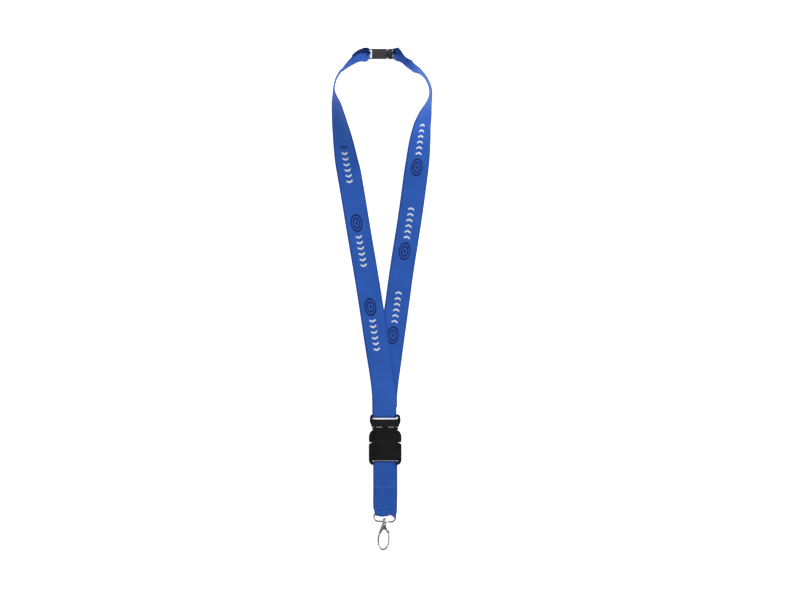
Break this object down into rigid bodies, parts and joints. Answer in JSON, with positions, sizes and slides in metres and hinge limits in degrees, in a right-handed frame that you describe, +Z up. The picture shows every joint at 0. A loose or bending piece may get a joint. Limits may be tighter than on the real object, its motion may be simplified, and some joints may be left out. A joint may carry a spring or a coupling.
{
  "type": "neck lanyard",
  "caption": "Flat-laid neck lanyard of printed blue webbing with a breakaway clasp, side-release buckle, short lower strap and swivel oval hook with a sprung gate.",
  "frame": {"origin": "middle of the lanyard's box on the surface it lies on", "axes": "+Y along the lanyard from the hook towards the breakaway clasp, +X across it, +Z up from the surface; the printed face of the webbing looks up"},
  "size_m": [0.1056, 0.5269, 0.0258],
  "materials": {
    "webbing": "woven",
    "clasp_plastic": "satin",
    "buckle_plastic": "satin",
    "plated_steel": "polished",
    "gate_steel": "polished",
    "spring_steel": "satin",
    "thread": "twisted thread",
    "thread_light": "twisted thread"
  },
  "bodies": {
    "root": {"neck_strap_left": "webbing", "clasp_socket": "clasp_plastic", "stitching_clasp_left": "thread", "stitching_neck_join": "thread"},
    "right_strap": {"neck_strap_right": "webbing", "clasp_plug": "clasp_plastic", "stitching_clasp_right": "thread"},
    "buckle_male": {"buckle_male_frame": "buckle_plastic"},
    "latch_left": {"buckle_latch_left": "buckle_plastic"},
    "latch_right": {"buckle_latch_right": "buckle_plastic"},
    "buckle_female": {"buckle_female_housing": "buckle_plastic"},
    "lower_strap_body": {"lower_strap": "webbing", "stitching_lower_strap": "thread_light"},
    "bail": {"bail_ring": "plated_steel"},
    "hook": {"swivel_stud": "plated_steel", "hook_body": "plated_steel", "gate_rivet": "plated_steel", "gate_spring": "spring_steel"},
    "gate": {"hook_gate": "gate_steel"}
  },
  "joints": [
    {"name": "breakaway_release", "type": "hinge", "parent": "root", "child": "right_strap", "pos_m": [0.0033, -0.1094, 0.0055], "axis": [0, 0, -1], "range_deg": [0, 2.4]},
    {"name": "buckle_swing", "type": "hinge", "parent": "root", "child": "buckle_male", "pos_m": [0.0035, -0.1217, 0.0055], "axis": [1, 0, 0], "range_deg": [-40, 40]},
    {"name": "latch_left_squeeze", "type": "hinge", "parent": "buckle_male", "child": "latch_left", "pos_m": [-0.006, -0.1286, 0.0055], "axis": [0, 0, 1], "range_deg": [0, 15], "stiffness_Nm_per_rad": 0.12},
    {"name": "latch_right_squeeze", "type": "hinge", "parent": "buckle_male", "child": "latch_right", "pos_m": [0.013, -0.1286, 0.0055], "axis": [0, 0, -1], "range_deg": [0, 15], "stiffness_Nm_per_rad": 0.12},
    {"name": "buckle_release", "type": "slide", "parent": "buckle_male", "child": "buckle_female", "axis": [0, -1, 0], "range_m": [0, 0.03], "deforming": ["buckle_latch_left", "buckle_latch_right"]},
    {"name": "lower_strap_swing", "type": "hinge", "parent": "buckle_female", "child": "lower_strap_body", "pos_m": [0.0035, -0.1716, 0.0055], "axis": [1, 0, 0], "range_deg": [-40, 40]},
    {"name": "bail_swing", "type": "hinge", "parent": "lower_strap_body", "child": "bail", "pos_m": [0.0032, -0.2254, 0.00215], "axis": [0.9988, -0.0489, 0], "range_deg": [-75, 75]},
    {"name": "hook_swivel", "type": "hinge", "parent": "bail", "child": "hook", "pos_m": [0.00283, -0.23299, 0.00215], "axis": [0.0489, 0.9988, 0], "continuous": true},
    {"name": "gate_open", "type": "hinge", "parent": "hook", "child": "gate", "pos_m": [0.00726, -0.24482, 0.00215], "axis": [0, 0, -1], "range_deg": [0, 24], "stiffness_Nm_per_rad": 0.004, "deforming": ["gate_spring"]}
  ]
}
